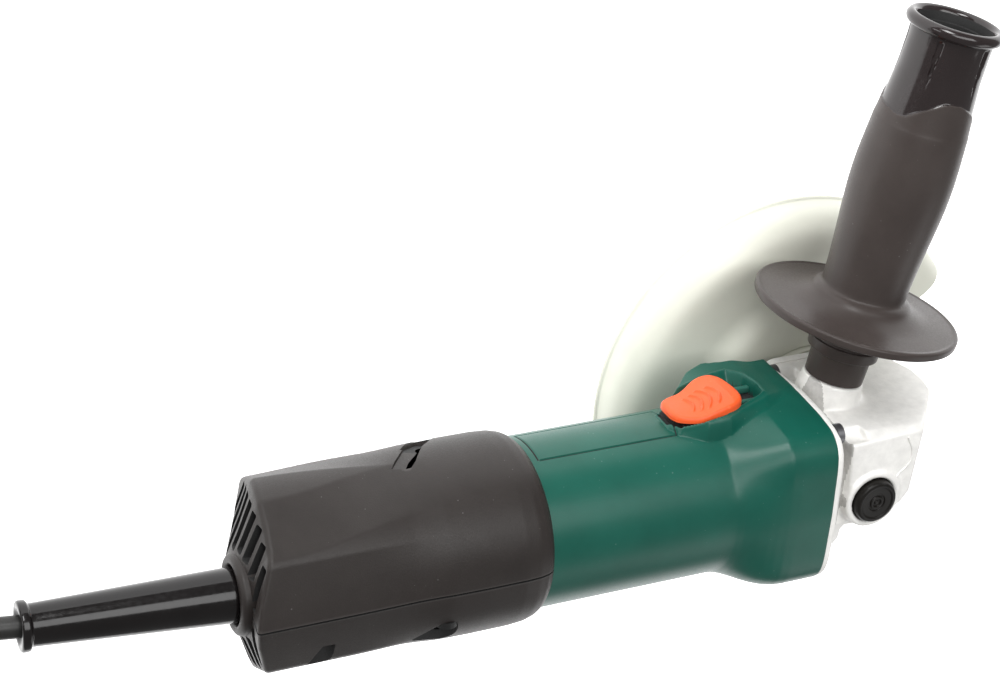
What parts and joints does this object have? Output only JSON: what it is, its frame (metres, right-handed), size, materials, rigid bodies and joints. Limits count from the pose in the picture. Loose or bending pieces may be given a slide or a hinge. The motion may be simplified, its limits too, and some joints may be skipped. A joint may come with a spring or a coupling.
{
  "type": "angle grinder",
  "caption": "Corded angle grinder with a slim motor body, aluminium gear head, half-round guard, side handle with hand flange, slide switch, spindle lock and mains lead.",
  "frame": {"origin": "centre of the disc seat on the inner flange, on the spindle axis", "axes": "+X along the motor body from the cord to the gear head, +Y towards the fitted side handle, +Z along the spindle away from the disc"},
  "size_m": [0.5504, 0.2095, 0.093],
  "materials": {
    "green_plastic": "Moulded glass-filled nylon, blue-green, fine satin grain.",
    "grey_plastic": "Moulded nylon, warm dark grey, fine matte texture.",
    "handle_plastic": "Moulded nylon, warm dark grey, satin.",
    "black_plastic": "Moulded black plastic.",
    "orange_plastic": "Moulded orange plastic, satin.",
    "blue_plastic": "Moulded blue plastic case.",
    "cast_aluminium": "Die-cast aluminium, fine blasted skin.",
    "zinc_steel": "Pressed sheet steel, satin zinc.",
    "screw_steel": "Zinc-plated screw steel.",
    "machined_steel": "Turned and ground steel.",
    "bearing_steel": "Polished bearing steel.",
    "spring_steel": "Drawn spring wire.",
    "lamination_steel": "Stacked electrical steel.",
    "copper": "Enamelled copper.",
    "brass": "Folded brass.",
    "bronze": "Sintered bronze.",
    "pin_brass": "Nickel-plated brass pins.",
    "carbon": "Pressed carbon.",
    "black_rubber": "Smooth black rubber.",
    "cord_rubber": "Black rubber sheath."
  },
  "bodies": {
    "root": {"motor_housing": "green_plastic", "rear_shell_left": "grey_plastic", "rear_shell_right": "grey_plastic", "rear_shell_screws": "screw_steel", "gear_housing": "cast_aluminium", "gear_housing_screws": "screw_steel", "bearing_cover": "cast_aluminium", "bearing_cover_screws": "screw_steel", "front_bearing_outer": "bearing_steel", "rear_bearing_outer": "bearing_steel", "spindle_bearing_outer": "bearing_steel", "spindle_bush": "bronze", "dust_seal": "black_rubber", "rear_bearing_boot": "black_rubber", "air_baffle": "black_plastic", "stator_core": "lamination_steel", "field_coils": "copper", "brush_holders": "brass", "brush_spring_top": "spring_steel", "brush_spring_bottom": "spring_steel", "lock_spring": "spring_steel", "switch_unit": "black_plastic", "capacitor": "blue_plastic", "side_handle": "handle_plastic", "handle_stud": "machined_steel", "cord_clamp": "black_plastic", "cord_clamp_screws": "screw_steel", "cord_sleeve": "black_rubber", "cord": "cord_rubber", "cord_coil": "cord_rubber", "plug": "cord_rubber", "plug_pins": "pin_brass"},
    "armature": {"armature_shaft": "machined_steel", "armature_core": "lamination_steel", "armature_windings": "copper", "commutator": "copper", "fan": "black_plastic", "pinion": "machined_steel", "front_bearing_inner": "bearing_steel", "rear_bearing_inner": "bearing_steel"},
    "spindle": {"spindle": "machined_steel", "ring_gear": "machined_steel", "inner_flange": "machined_steel", "spindle_bearing_inner": "bearing_steel"},
    "lock": {"spindle_lock_button": "black_plastic", "lock_pin": "machined_steel"},
    "switch": {"switch_knob": "orange_plastic", "switch_rod": "black_plastic"},
    "guard": {"guard": "zinc_steel", "guard_band": "zinc_steel", "guard_screw": "screw_steel"},
    "brush_top": {"carbon_brush_top": "carbon"},
    "brush_bottom": {"carbon_brush_bottom": "carbon"}
  },
  "joints": [
    {"name": "armature_spin", "type": "hinge", "parent": "root", "child": "armature", "pos_m": [0, 0, 0.048], "axis": [1, 0, 0], "continuous": true},
    {"name": "spindle_spin", "type": "hinge", "parent": "root", "child": "spindle", "pos_m": [0, 0, 0], "axis": [0, 0, 1], "continuous": true},
    {"name": "spindle_lock_press", "type": "slide", "parent": "root", "child": "lock", "axis": [0, 0, -1], "range_m": [0, 0.003], "stiffness_N_per_m": 1500, "springref_m": -0.002, "deforming": ["lock_spring"]},
    {"name": "switch_slide", "type": "slide", "parent": "root", "child": "switch", "axis": [1, 0, 0], "range_m": [0, 0.007]},
    {"name": "guard_turn", "type": "hinge", "parent": "root", "child": "guard", "pos_m": [0, 0, 0], "axis": [0, 0, 1], "range_deg": [-90, 90]},
    {"name": "brush_top_retract", "type": "slide", "parent": "root", "child": "brush_top", "axis": [0, 0, 1], "range_m": [0, 0.002], "stiffness_N_per_m": 400, "springref_m": -0.004, "deforming": ["brush_spring_top"]},
    {"name": "brush_bottom_retract", "type": "slide", "parent": "root", "child": "brush_bottom", "axis": [0, 0, -1], "range_m": [0, 0.002], "stiffness_N_per_m": 400, "springref_m": -0.004, "deforming": ["brush_spring_bottom"]}
  ],
  "couplings": [
    {"joint": "spindle_spin", "follows": "armature_spin", "ratio": -0.33333}
  ]
}
